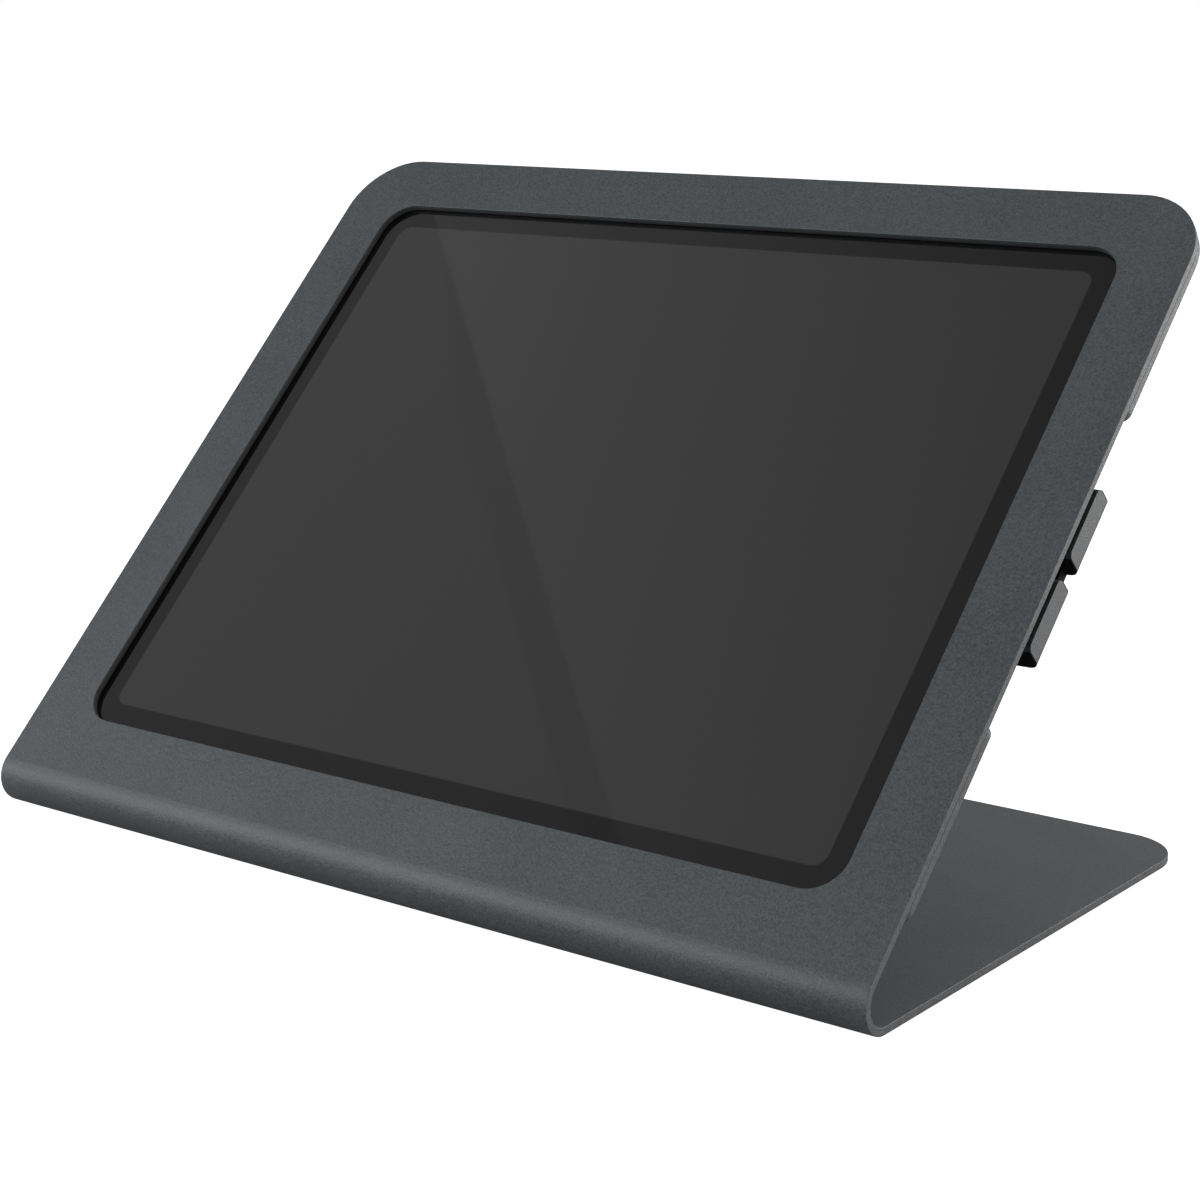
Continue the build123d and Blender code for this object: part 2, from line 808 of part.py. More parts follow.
def make_port_tongue():
    rear = port_rear_x + port_shell_wall
    return slab(
        rear, rear + tongue_length, -tongue_width / 2, tongue_width / 2,
        button_depth - tongue_thickness / 2, button_depth + tongue_thickness / 2,
    )


def make_port_flex():
    return slab(
        board_width / 2, port_rear_x, -flex_width / 2, flex_width / 2,
        board_rear_depth - 2 * flex_thickness, board_rear_depth - flex_thickness,
    )


def make_speaker_modules():
    modules = []
    front = inner_half_width - mesh_thickness
    for y in (-speaker_offset, speaker_offset):
        module = slab(
            front - speaker_reach, front, y - speaker_width / 2, y + speaker_width / 2,
            display_rear_depth + air_gap, back_inner_depth, speaker_corner_radius,
        )
        modules += both_sides(module)
    return modules


def make_speaker_meshes():
    meshes = []
    for y in (-speaker_offset, speaker_offset):
        mesh = slab(
            inner_half_width - mesh_thickness, inner_half_width,
            y - speaker_width / 2 + mesh_inset, y + speaker_width / 2 - mesh_inset,
            button_depth - mesh_width / 2, button_depth + mesh_width / 2,
        )
        meshes += both_sides(mesh)
    return meshes


def make_front_camera():
    """A small camera under the glass, in the black border at the tablet's left."""
    return middle_slab(
        -border_middle, 0, front_camera_width, front_camera_length, glass_thickness,
        display_rear_depth + air_gap,
    )


def make_ambient_sensor():
    return middle_slab(
        -border_middle, ambient_sensor_offset, ambient_sensor_size, ambient_sensor_size,
        glass_thickness, glass_thickness + ambient_sensor_thickness,
    )


def make_rear_camera_module():
    barrel_end = tablet_thickness + camera_bump - camera_lens_thickness
    body = middle_slab(
        camera_x, camera_y, camera_body_size, camera_body_size,
        display_rear_depth + air_gap, back_inner_depth,
    )
    return body + disc(camera_x, camera_y, camera_barrel_radius, back_inner_depth, barrel_end)


def make_rear_camera_ring():
    rear = tablet_thickness + camera_bump
    ring = disc(camera_x, camera_y, camera_ring_radius, tablet_thickness, rear)
    ring = fillet(ring.edges().sort_by(Axis.Z)[0], camera_bump / 2)
    return ring - disc(camera_x, camera_y, camera_ring_inner_radius, 0, 2 * rear)


def make_rear_camera_lens():
    rear = tablet_thickness + camera_bump
    return disc(
        camera_x, camera_y, camera_ring_inner_radius - fit_clearance,
        rear - camera_lens_thickness, rear - camera_lens_recess,
    )


def make_microphones():
    return [
        slab(
            x - microphone_length / 2, x + microphone_length / 2,
            inner_half_height - microphone_width, inner_half_height,
            display_rear_depth + air_gap, back_inner_depth,
        )
        for x in (-microphone_offset, microphone_offset)
    ]


def make_case_magnets():
    y = -inner_half_height + magnet_width
    places = [(step - (magnet_count - 1) / 2) * magnet_pitch for step in range(magnet_count)]
    return [
        middle_slab(x, y, magnet_length, magnet_width, display_rear_depth + air_gap, back_inner_depth)
        for x in places
    ]


def make_antenna_flexes():
    """Two at the tablet's lower corners and one at the corner across from the camera."""
    upper, lower = [
        middle_slab(
            inner_half_width - flex_width / 2, y, flex_width, antenna_flex_length,
            back_inner_depth - flex_thickness, back_inner_depth,
        )
        for y in (antenna_flex_offset, -antenna_flex_offset)
    ]
    return [upper] + both_sides(lower)


stand_pieces = {
    "retainer_plate": make_retainer_plate(),
    "flange_liners": make_flange_liners(),
    "cable_grommets": make_cable_grommets(),
    "back_pads": make_back_pads(),
    "side_bumpers": make_side_bumpers(),
    "edge_bumpers": make_edge_bumpers(),
    "panel_studs": make_panel_studs(),
    "stud_washers": make_stud_washers(),
    "security_nuts": make_security_nuts(),
}

tablet_pieces = {
    "cover_glass": glass_outline(0, glass_thickness),
    "display_gasket": make_display_gasket(),
    "display_cell": make_display_cell(),
    "backlight_unit": make_backlight_unit(),
    "tablet_housing": make_tablet_housing(),
    "antenna_strips": make_antenna_strips(),
    "upper_battery_cell": make_battery_cell(1),
    "lower_battery_cell": make_battery_cell(-1),
    "battery_flex": make_battery_flex(),
    "main_board": make_main_board(),
    "board_screws": make_board_screws(),
    "board_shields": make_board_shields(),
    "processor_chip": make_chip(-shield_offset, 0, processor_size, processor_size),
    "memory_chips": [
        make_chip(shield_offset + x, y, memory_chip_width, memory_chip_height)
        for x in (-memory_column_offset, memory_column_offset)
        for y in (-memory_row_offset, memory_row_offset)
    ],
    "display_flex": make_display_flex(),
    "port_shell": make_port_shell(),
    "port_tongue": make_port_tongue(),
    "port_flex": make_port_flex(),
    "speaker_modules": make_speaker_modules(),
    "speaker_meshes": make_speaker_meshes(),
    "front_camera": make_front_camera(),
    "ambient_sensor": make_ambient_sensor(),
    "rear_camera_module": make_rear_camera_module(),
    "rear_camera_ring": make_rear_camera_ring(),
    "rear_camera_lens": make_rear_camera_lens(),
    "power_button": to_left_side(make_button(power_button_offset, power_button_length, half_tablet)),
    "power_switch": to_left_side(make_switch(power_button_offset, half_tablet)),
    "power_switch_bracket": to_left_side(
        make_switch_bracket(power_button_offset, power_button_offset, half_tablet)
    ),
    "volume_up_button": make_button(volume_up_offset, volume_button_length, half_tablet_height),
    "volume_down_button": make_button(volume_down_offset, volume_button_length, half_tablet_height),
    "volume_switches": [
        make_switch(offset, half_tablet_height) for offset in (volume_up_offset, volume_down_offset)
    ],
    "volume_switch_bracket": make_switch_bracket(
        volume_up_offset, volume_down_offset, half_tablet_height
    ),
    "microphones": make_microphones(),
    "case_magnets": make_case_magnets(),
    "antenna_flexes": make_antenna_flexes(),
}


def write_node(name, shape, location):
    """One STEP file for a node: its solids, moved from their own frame to the kiosk's."""
    pieces = shape if isinstance(shape, list) else [shape]
    solids = [solid for piece in pieces for solid in (location * piece).solids()]
    export_step(solids[0] if len(solids) == 1 else Compound(children=solids), f"parts/{name}.step")


os.makedirs("parts", exist_ok=True)
write_node("folded_body", make_folded_body(), Location())
write_node("rubber_feet", make_rubber_feet(), Location())
for name, shape in stand_pieces.items():
    write_node(name, shape, panel_frame.location)
for name, shape in tablet_pieces.items():
    write_node(name, shape, tablet_frame.location)
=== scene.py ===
import bmesh
import bpy
from math import cos, pi, radians, sin
from mathutils import Matrix, Vector, noise


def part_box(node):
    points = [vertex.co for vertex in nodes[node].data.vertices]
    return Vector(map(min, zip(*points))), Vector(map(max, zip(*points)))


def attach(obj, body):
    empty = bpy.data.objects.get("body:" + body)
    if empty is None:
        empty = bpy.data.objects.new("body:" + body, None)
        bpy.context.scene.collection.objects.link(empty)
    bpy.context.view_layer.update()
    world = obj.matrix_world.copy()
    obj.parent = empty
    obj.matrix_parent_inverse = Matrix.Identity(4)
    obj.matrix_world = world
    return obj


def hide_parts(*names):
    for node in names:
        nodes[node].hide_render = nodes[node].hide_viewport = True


# Touchscreen kiosk: finishes and small parts for the folded steel stand and the tablet it holds.
# Metres, in the CAD frame: +X right, -Y towards the person at the screen, +Z up.

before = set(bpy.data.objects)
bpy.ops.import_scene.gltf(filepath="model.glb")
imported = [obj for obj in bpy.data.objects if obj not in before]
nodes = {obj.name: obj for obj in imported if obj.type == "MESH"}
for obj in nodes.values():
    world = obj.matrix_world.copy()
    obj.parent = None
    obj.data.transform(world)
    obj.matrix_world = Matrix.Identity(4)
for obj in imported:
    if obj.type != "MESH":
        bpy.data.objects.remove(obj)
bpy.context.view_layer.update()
scene = bpy.context.scene
print("frame loaded:", len(nodes), "nodes")

panelLean = radians(45)
leanTurn = Matrix.Rotation(panelLean, 4, "X")       # from the panel's own axes to the kiosk's
glassLow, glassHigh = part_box("cover_glass")
glassMiddle = (glassLow + glassHigh) / 2

weldDistance = 0.000001             # corners closer than this are one corner
flatAngle = radians(1)              # faces that turn less than this are one face
roundingAngle = radians(35)         # edges that turn more than this are rounded
roundingSegments = 3
skinScale = 400                     # unevenness of a foam's skin, in waves per metre
noiseRange = (0.3, 0.7)             # where nearly all of a noise node's values lie


def newMaterial(name, color, roughness, metallic=0.0):
    material = bpy.data.materials.new(name)
    material.use_nodes = True
    shader = material.node_tree.nodes["Principled BSDF"]
    shader.inputs["Base Color"].default_value = (*color, 1)
    shader.inputs["Roughness"].default_value = roughness
    shader.inputs["Metallic"].default_value = metallic
    return material, shader


def addNode(material, kind, **values):
    node = material.node_tree.nodes.new(kind)
    for name, value in values.items():
        setattr(node, name, value)
    return node


def join(material, outSocket, inSocket):
    material.node_tree.links.new(outSocket, inSocket)


def feed(material, socket, value):
    # a socket takes a plain number, a colour or another node's output
    if isinstance(value, (int, float)):
        socket.default_value = value
    elif isinstance(value, tuple):
        socket.default_value = (*value, 1)
    else:
        join(material, value, socket)


def objectPlace(material, location=(0, 0, 0), rotation=(0, 0, 0), scale=(1, 1, 1)):
    source = addNode(material, "ShaderNodeTexCoord")
    return turnedPlace(material, source.outputs["Object"], location, rotation, scale)


def turnedPlace(material, place, location=(0, 0, 0), rotation=(0, 0, 0), scale=(1, 1, 1)):
    mapping = addNode(material, "ShaderNodeMapping")
    mapping.inputs["Location"].default_value = location
    mapping.inputs["Rotation"].default_value = rotation
    mapping.inputs["Scale"].default_value = scale
    join(material, place, mapping.inputs["Vector"])
    return mapping.outputs["Vector"]


def blotches(material, place, grain, detail=2.0, roughness=0.5):
    # grain is the size of one blotch in metres
    node = addNode(material, "ShaderNodeTexNoise")
    node.inputs["Scale"].default_value = 1 / grain
    node.inputs["Detail"].default_value = detail
    node.inputs["Roughness"].default_value = roughness
    join(material, place, node.inputs["Vector"])
    return node.outputs["Fac"]


def spread(material, value, low, high, fromLow=0.0, fromHigh=1.0):
    node = addNode(material, "ShaderNodeMapRange")
    node.inputs["From Min"].default_value = fromLow
    node.inputs["From Max"].default_value = fromHigh
    node.inputs["To Min"].default_value = low
    node.inputs["To Max"].default_value = high
    join(material, value, node.inputs["Value"])
    return node.outputs["Result"]


def calculate(material, operation, first, second=0.0):
    node = addNode(material, "ShaderNodeMath", operation=operation)
    feed(material, node.inputs[0], first)
    feed(material, node.inputs[1], second)
    return node.outputs["Value"]


def mixColors(material, factor, first, second):
    node = addNode(material, "ShaderNodeMix", data_type="RGBA")
    feed(material, node.inputs["Factor"], factor)
    feed(material, node.inputs[6], first)
    feed(material, node.inputs[7], second)
    return node.outputs[2]


def raiseSurface(material, shader, height, depth):
    node = addNode(material, "ShaderNodeBump")
    node.inputs["Distance"].default_value = depth
    join(material, height, node.inputs["Height"])
    join(material, node.outputs["Normal"], shader.inputs["Normal"])


def edgeMask(material, reach):
    # 0 on a flat, where both normals agree, rising to 1 on a cut edge
    flat, edge = 0.99, 0.80
    rounded = addNode(material, "ShaderNodeBevel", samples=4)
    rounded.inputs["Radius"].default_value = reach
    plain = addNode(material, "ShaderNodeNewGeometry")
    dot = addNode(material, "ShaderNodeVectorMath", operation="DOT_PRODUCT")
    join(material, rounded.outputs["Normal"], dot.inputs[0])
    join(material, plain.outputs["Normal"], dot.inputs[1])
    return spread(material, dot.outputs["Value"], 0, 1, flat, edge)


def paintedShadeMask(material, reach):
    # 1 where nearly all of the sky is open, falling to 0 where surfaces meet: the mask of the painted shade
    closed, unshaded = 0.58, 0.97
    node = addNode(material, "ShaderNodeAmbientOcclusion", samples=6)
    node.inputs["Distance"].default_value = reach
    return spread(material, node.outputs["AO"], 0, 1, closed, unshaded)


powderLook = {
    "dark": (0.029, 0.0342, 0.0382),
    "light": (0.069, 0.0778, 0.0850),
    "grain": 0.00085,
    "speck": 0.00040,
    "cloud": 0.03,
    "cloudShare": 0.12,
    "tintRange": (0.44, 0.68),
    "roughness": (0.40, 0.56),
    "depth": 0.00016,
    "edge": (0.070, 0.072, 0.073),      # where handling has polished the coat on cut edges
    "edgeReach": 0.0004,
    "wear": (0.1, 0.6),                 # least and most polish along an edge
    "wearRange": (0.35, 0.65),
    "paintedShade": (0.006, 0.0065, 0.007),  # painted shade where sheets meet
    "paintedShadeReach": 0.003,
    "paintedShadeRoughness": 0.35,           # added to the coat's own
}


def makePowderCoat(name, look):
    # fine-textured powder coat: orange peel under a sharper speckle, darkened with painted shade where surfaces
    # meet
    material, shader = newMaterial(name, look["dark"], 0.5)
    place = objectPlace(material)
    grain = blotches(material, place, look["grain"], 3.0, 0.6)
    speck = blotches(material, place, look["speck"], 2.0, 0.5)
    cloud = blotches(material, place, look["cloud"], 2.0)
    both = calculate(material, "MULTIPLY", calculate(material, "ADD", grain, speck), 0.5)
    shade = calculate(material, "ADD", both, calculate(material, "MULTIPLY", cloud, look["cloudShare"]))
    tint = spread(material, shade, 0, 1, *look["tintRange"])
    coat = mixColors(material, tint, look["dark"], look["light"])
    patchy = spread(material, cloud, *look["wear"], *look["wearRange"])
    worn = calculate(material, "MULTIPLY", edgeMask(material, look["edgeReach"]), patchy)
    # painted shade: the coat darkens and roughens where surfaces meet
    unshaded = paintedShadeMask(material, look["paintedShadeReach"])
    handled = mixColors(material, worn, coat, look["edge"])
    # the painted shade is mixed over the handled coat
    join(material, mixColors(material, unshaded, look["paintedShade"], handled), shader.inputs["Base Color"])
    gloss = spread(material, grain, *look["roughness"], *noiseRange)
    duller = spread(material, unshaded, look["paintedShadeRoughness"], 0)
    join(material, calculate(material, "ADD", gloss, duller), shader.inputs["Roughness"])
    raiseSurface(material, shader, both, look["depth"])
    return material


screenLook = {
    "litSize": (0.2628, 0.1971),
    "litCorner": 0.0045,
    "edgeSoftness": 0.00025,
    "litColor": (0.0248, 0.0248, 0.0250),
    "borderColor": (0.0010, 0.0010, 0.0011),
    "roughness": (0.015, 0.035),
    "smear": 0.04,
    "wave": 0.05,
    "waveDepth": 0.000002,
    "bending": 1.55,                    # index of refraction
}


def roundedMask(material, place, size, corner, softness):
    # 1 inside a rounded rectangle round the middle of the place, 0 outside
    split = addNode(material, "ShaderNodeSeparateXYZ")
    join(material, place, split.inputs["Vector"])
    squares = []
    for axis, span in zip("XY", size):
        reach = calculate(material, "ABSOLUTE", split.outputs[axis])
        over = calculate(material, "MAXIMUM", calculate(material, "SUBTRACT", reach, span / 2 - corner), 0.0)
        squares.append(calculate(material, "MULTIPLY", over, over))
    away = calculate(material, "SQRT", calculate(material, "ADD", *squares))
    return spread(material, away, 1, 0, corner - softness, corner + softness)


def makeScreenGlass(name, look):
    # polished glass with a black printed border round the dark display
    material, shader = newMaterial(name, look["litColor"], 0.03)
    flat = turnedPlace(material, objectPlace(material, tuple(-glassMiddle)), rotation=(-panelLean, 0, 0))
    lit = roundedMask(material, flat, look["litSize"], look["litCorner"], look["edgeSoftness"])
    join(material, mixColors(material, lit, look["borderColor"], look["litColor"]), shader.inputs["Base Color"])
    smear = blotches(material, flat, look["smear"], 3.0)
    join(material, spread(material, smear, *look["roughness"], *noiseRange), shader.inputs["Roughness"])
    shader.inputs["IOR"].default_value = look["bending"]
    raiseSurface(material, shader, blotches(material, flat, look["wave"], 1.0), look["waveDepth"])
    return material


speckleLook = {"broad": 25, "broadShare": 0.3, "tintRange": (0.45, 0.85)}   # broad is in fine grains


def makeSpeckled(name, dark, light, grain, roughness, depth, metallic=0.0, stretch=(1, 1, 1), shine=0.5):
    # an even finish with a fine grain in its colour, gloss and surface
    material, shader = newMaterial(name, dark, roughness[0], metallic)
    shader.inputs["Specular IOR Level"].default_value = shine
    place = objectPlace(material, scale=stretch)
    fine = blotches(material, place, grain, 3.0, 0.6)
    broad = blotches(material, place, grain * speckleLook["broad"], 2.0)
    shade = calculate(material, "ADD", fine, calculate(material, "MULTIPLY", broad, speckleLook["broadShare"]))
    tint = spread(material, shade, 0, 1, *speckleLook["tintRange"])
    join(material, mixColors(material, tint, dark, light), shader.inputs["Base Color"])
    join(material, spread(material, fine, *roughness, *noiseRange), shader.inputs["Roughness"])
    raiseSurface(material, shader, fine, depth)
    return material


foamLook = {
    "dark": (0.005, 0.005, 0.005),
    "light": (0.022, 0.022, 0.023),
    "cell": 0.0006,
    "pitRange": (0.1, 0.5),
    "roughness": (0.96, 0.82),
    "depth": 0.00012,
}


def makeFoam(name, look):
    # closed-cell foam: tiny pits whose floors are darkened with painted shade
    material, shader = newMaterial(name, look["dark"], 0.9)
    place = objectPlace(material)
    pits = addNode(material, "ShaderNodeTexVoronoi")
    pits.inputs["Scale"].default_value = 1 / look["cell"]
    join(material, place, pits.inputs["Vector"])
    pitDepthAndShade = spread(material, pits.outputs["Distance"], 0, 1, *look["pitRange"])
    # painted shade: the pit floors are darker
    join(material, mixColors(material, pitDepthAndShade, look["dark"], look["light"]), shader.inputs["Base Color"])
    join(material, spread(material, pitDepthAndShade, *look["roughness"]), shader.inputs["Roughness"])
    raiseSurface(material, shader, pitDepthAndShade, look["depth"])
    return material


boardLook = {
    "mask": (0.01, 0.08, 0.035),
    "fields": ((0.008, 0.07, 0.03), (0.012, 0.09, 0.04)),
    "runs": (0.03, 0.14, 0.06),
    "runWidth": 0.03,
    "scale": 160,
    "grain": 0.0006,
    "roughness": (0.3, 0.5),
    "depth": 0.00003,
}


def makeCircuitBoard(name, look):
    # solder mask with brighter copper runs under it
    material, shader = newMaterial(name, look["mask"], 0.4)
    flat = turnedPlace(material, objectPlace(material, tuple(-glassMiddle)), rotation=(-panelLean, 0, 0))
    runs = addNode(material, "ShaderNodeTexBrick")
    runs.inputs["Scale"].default_value = look["scale"]
    feed(material, runs.inputs["Color1"], look["fields"][0])
    feed(material, runs.inputs["Color2"], look["fields"][1])
    feed(material, runs.inputs["Mortar"], look["runs"])
    runs.inputs["Mortar Size"].default_value = look["runWidth"]
    join(material, flat, runs.inputs["Vector"])
    join(material, runs.outputs["Color"], shader.inputs["Base Color"])
    fine = blotches(material, flat, look["grain"], 2.0)
    join(material, spread(material, fine, *look["roughness"]), shader.inputs["Roughness"])
    raiseSurface(material, shader, runs.outputs["Fac"], look["depth"])
    return material


finishes = {
    "powder": makePowderCoat("blue-grey powder coat", powderLook),
    "screen": makeScreenGlass("screen glass", screenLook),
    "aluminium": makeSpeckled(
        "blasted aluminium", (0.15, 0.155, 0.16), (0.22, 0.225, 0.23),
        grain=0.00015, roughness=(0.34, 0.46), depth=0.000004, metallic=1.0,
    ),
    "rubber": makeSpeckled(
        "black rubber", (0.0020, 0.0020, 0.0020), (0.0050, 0.0050, 0.0050),
        grain=0.0004, roughness=(0.75, 0.92), depth=0.00003, shine=0.15,
    ),
    "foam": makeFoam("closed-cell foam", foamLook),
    "zinc": makeSpeckled(
        "zinc plate", (0.42, 0.43, 0.45), (0.60, 0.61, 0.60),
        grain=0.0004, roughness=(0.25, 0.42), depth=0.000006, metallic=1.0,
    ),
    "stainless": makeSpeckled(
        "turned stainless", (0.34, 0.34, 0.34), (0.52, 0.52, 0.52),
        grain=0.0002, roughness=(0.2, 0.34), depth=0.000005, metallic=1.0,
    ),
    "plastic": makeSpeckled(
        "black moulding", (0.010, 0.010, 0.010), (0.024, 0.024, 0.025),
        grain=0.0005, roughness=(0.45, 0.6), depth=0.00001,
    ),
    "wrap": makeSpeckled(
        "battery film", (0.02, 0.02, 0.022), (0.04, 0.04, 0.043),
        grain=0.003, roughness=(0.35, 0.5), depth=0.00008,
    ),
    "flex": makeSpeckled(
        "flex film", (0.22, 0.10, 0.02), (0.32, 0.16, 0.04),
        grain=0.0008, roughness=(0.3, 0.45), depth=0.00001, stretch=(1, 6, 6),
    ),
    "board": makeCircuitBoard("solder mask", boardLook),
    "resin": makeSpeckled(
        "chip resin", (0.01, 0.01, 0.011), (0.022, 0.022, 0.023),
        grain=0.0002, roughness=(0.35, 0.5), depth=0.000005,
    ),
    "film": makeSpeckled(
        "white film", (0.70, 0.70, 0.70), (0.82, 0.82, 0.82),
        grain=0.002, roughness=(0.4, 0.6), depth=0.00001,
    ),
    "lens": makeSpeckled(
        "lens glass", (0.004, 0.004, 0.007), (0.008, 0.007, 0.012),
        grain=0.002, roughness=(0.02, 0.05), depth=0.000001,
    ),
    "gold": makeSpeckled(
        "contact gold", (0.75, 0.50, 0.18), (0.85, 0.60, 0.25),
        grain=0.0002, roughness=(0.2, 0.3), depth=0.000002, metallic=1.0,
    ),
}

finishOfNode = {
    "powder": ["folded_body", "retainer_plate"],
    "screen": ["cover_glass"],
    "aluminium": [
        "tablet_housing", "power_button", "volume_up_button", "volume_down_button", "rear_camera_ring",
    ],
    "rubber": [
        "rubber_feet", "side_bumpers", "edge_bumpers", "display_gasket", "flange_liners", "cable_grommets",
    ],
    "foam": ["back_pads"],
    "zinc": [
        "panel_studs", "stud_washers", "board_screws", "board_shields", "power_switch", "power_switch_bracket",
        "volume_switches", "volume_switch_bracket", "microphones", "case_magnets",
    ],
    "stainless": ["security_nuts", "port_shell", "speaker_meshes"],
    "plastic": [
        "antenna_strips", "port_tongue", "speaker_modules", "front_camera", "ambient_sensor",
        "rear_camera_module",
    ],
    "wrap": ["upper_battery_cell", "lower_battery_cell"],
    "flex": ["battery_flex", "display_flex", "port_flex", "antenna_flexes"],
    "board": ["main_board"],
    "resin": ["processor_chip", "memory_chips", "display_cell"],
    "film": ["backlight_unit"],
    "lens": ["rear_camera_lens"],
}

for finish, names in finishOfNode.items():
    for name in names:
        for slot in nodes[name].material_slots:
            slot.material = finishes[finish]
print("finishes on", sum(len(names) for names in finishOfNode.values()), "nodes")


def mergedCopy(name, turn=Matrix.Identity(4)):
    mesh = bmesh.new()
    mesh.from_mesh(nodes[name].data)
    bmesh.ops.remove_doubles(mesh, verts=mesh.verts, dist=weldDistance)
    mesh.transform(turn)
    return mesh


def solidBoxes(name, turn=Matrix.Identity(4)):
    # lowest and highest corners of each of a node's solids, on turned axes
    mesh = mergedCopy(name, turn)
    boxes = []
    waiting = set(mesh.verts)
    while waiting:
        group = [waiting.pop()]
        for vert in group:
            for edge in vert.link_edges:
                other = edge.other_vert(vert)
                if other in waiting:
                    waiting.remove(other)
                    group.append(other)
        low = Vector([min(vert.co[axis] for vert in group) for axis in range(3)])
        high = Vector([max(vert.co[axis] for vert in group) for axis in range(3)])
        boxes.append((low, high))
    mesh.free()
    return sorted(boxes, key=lambda box: tuple(round(value, 6) for value in box[0]))


def finishPiece(mesh, name, finish, replaced, bevel=None, smooth=True):
    # turns a bmesh into a piece that rides on the stand
    bmesh.ops.recalc_face_normals(mesh, faces=mesh.faces)
    for face in mesh.faces:
        face.smooth = smooth
    data = bpy.data.meshes.new(name)
    mesh.to_mesh(data)
    mesh.free()
    data.materials.append(finishes[finish])
    piece = bpy.data.objects.new(name, data)
    scene.collection.objects.link(piece)
    if bevel:
        rounding = piece.modifiers.new("rounding", "BEVEL")
        rounding.width = bevel
        rounding.segments = roundingSegments
        rounding.limit_method = "ANGLE"
        rounding.angle_limit = roundingAngle
        rounding.harden_normals = True
    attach(piece, "stand")
    if replaced:
        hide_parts(replaced)
    return piece


def addLathe(mesh, profile, place, steps=40):
    # a closed turned shape: profile points are (radius, height) from the axis' low end
    before = set(mesh.verts)
    verts = [mesh.verts.new((radius, 0, height)) for radius, height in profile]
    edges = [mesh.edges.new(pair) for pair in zip(verts, verts[1:])]
    bmesh.ops.spin(
        mesh, geom=verts + edges, cent=(0, 0, 0), axis=(0, 0, 1), angle=2 * pi, steps=steps, use_merge=True
    )
    made = [vert for vert in mesh.verts if vert not in before]
    bmesh.ops.remove_doubles(mesh, verts=made, dist=weldDistance)
    made = [vert for vert in mesh.verts if vert not in before]
    bmesh.ops.transform(mesh, matrix=place, verts=made)


def addBlock(mesh, low, high, cuts, ribDepth=0.0, pitDepth=0.0):
    # a block cut into cells along its sides, with ribs or a foam's uneven skin
    size = high - low
    middle = (low + high) / 2
    block = bmesh.new()
    bmesh.ops.create_cube(block, size=1)
    bmesh.ops.scale(block, vec=size, verts=block.verts)
    bmesh.ops.translate(block, vec=middle, verts=block.verts)
    for axis in range(3):
        for step in range(1, cuts[axis] + 1):
            place = middle.copy()
            place[axis] = low[axis] + size[axis] * step / (cuts[axis] + 1)
            normal = [0, 0, 0]
            normal[axis] = 1
            bmesh.ops.bisect_plane(
                block, geom=[*block.verts, *block.edges, *block.faces], plane_co=place, plane_no=normal
            )
    longest = max(range(3), key=lambda axis: size[axis])
    for vert in block.verts:
        away = vert.co - middle
        step = round((vert.co[longest] - low[longest]) / size[longest] * (cuts[longest] + 1))
        # two rows of corners stay proud, the next two sink, and both ends stay whole
        groove = ribDepth if step % 4 in (2, 3) and 0 < step < cuts[longest] + 1 else 0.0
        pit = pitDepth * (0.5 + 0.5 * noise.noise(vert.co * skinScale))
        for axis in range(3):
            away[axis] *= 1 - 2 * (pit + (0.0 if axis == longest else groove)) / size[axis]
        vert.co = middle + away
    made = bpy.data.meshes.new("block")
    block.to_mesh(made)
    block.free()
    mesh.from_mesh(made)
    bpy.data.meshes.remove(made)


footLook = {
    "groove": 0.0004,
    "rings": (0.0030, 0.0045, 0.0060),
    "ringTop": 0.0004,                  # half a ring's width where it stands on the table
    "ringRoot": 0.0006,                 # and where it leaves the groove
    "rim": (0.0010, 0.0008, 0.0005, 0.0002),    # steps in from the foot's outside
    "rimRise": 0.00008,
    "crown": 0.0003,
    "chamfer": 0.0002,
}


def makeFeet(look):
    # moulded feet: a ringed underside and a rim that meets the base
    mesh = bmesh.new()
    for low, high in solidBoxes("rubber_feet"):
        radius = (high.x - low.x) / 2
        height = high.z - low.z
        profile = [(0, look["groove"]), (look["rings"][0] - look["ringRoot"], look["groove"])]
        for ring in look["rings"]:
            profile += [(ring - look["ringTop"], 0), (ring + look["ringTop"], 0)]
            profile.append((ring + look["ringRoot"], look["groove"]))
        rim = [radius - step for step in look["rim"]]
        profile += [
            (rim[0], look["groove"]), (rim[1], 0), (rim[2], 0),
            (rim[3], look["rimRise"]), (radius, look["crown"]), (radius, height - look["chamfer"]),
            (radius - look["chamfer"], height), (0, height),
        ]
        addLathe(mesh, profile, Matrix.Translation(((low.x + high.x) / 2, (low.y + high.y) / 2, low.z)), 48)
    finishPiece(mesh, "moulded_feet", "rubber", "rubber_feet", smooth=False)


padLook = {"cell": 0.0035, "pitDepth": 0.00008, "rounding": 0.0006, "fill": 0.9}


def makePads(look):
    # die-cut foam strips behind the tablet, with a slightly uneven skin
    mesh = bmesh.new()
    for low, high in solidBoxes("back_pads", leanTurn.inverted()):
        size = high - low
        cuts = [max(1, int(size[axis] / look["cell"])) for axis in range(3)]
        addBlock(mesh, low, high, cuts, pitDepth=look["pitDepth"])
    mesh.transform(leanTurn)
    piece = finishPiece(mesh, "foam_pads", "foam", "back_pads", bevel=look["rounding"])


bumperLook = {"pitch": 0.0016, "ribDepth": 0.00015, "fill": 1.0}


def makeBumpers(name, replaced, look):
    # ribbed rubber between the tablet's edges and the steel
    mesh = bmesh.new()
    for low, high in solidBoxes(replaced, leanTurn.inverted()):
        size = high - low
        cuts = [0, 0, 0]
        longest = max(range(3), key=lambda axis: size[axis])
        cuts[longest] = 2 * int(size[longest] / look["pitch"]) + 1
        addBlock(mesh, low, high, cuts, ribDepth=look["ribDepth"])
    mesh.transform(leanTurn)
    piece = finishPiece(mesh, name, "rubber", replaced, smooth=False)


mouldingRounding = {"liners": 0.0001, "grommets": 0.0001, "gasket": 0.00004}


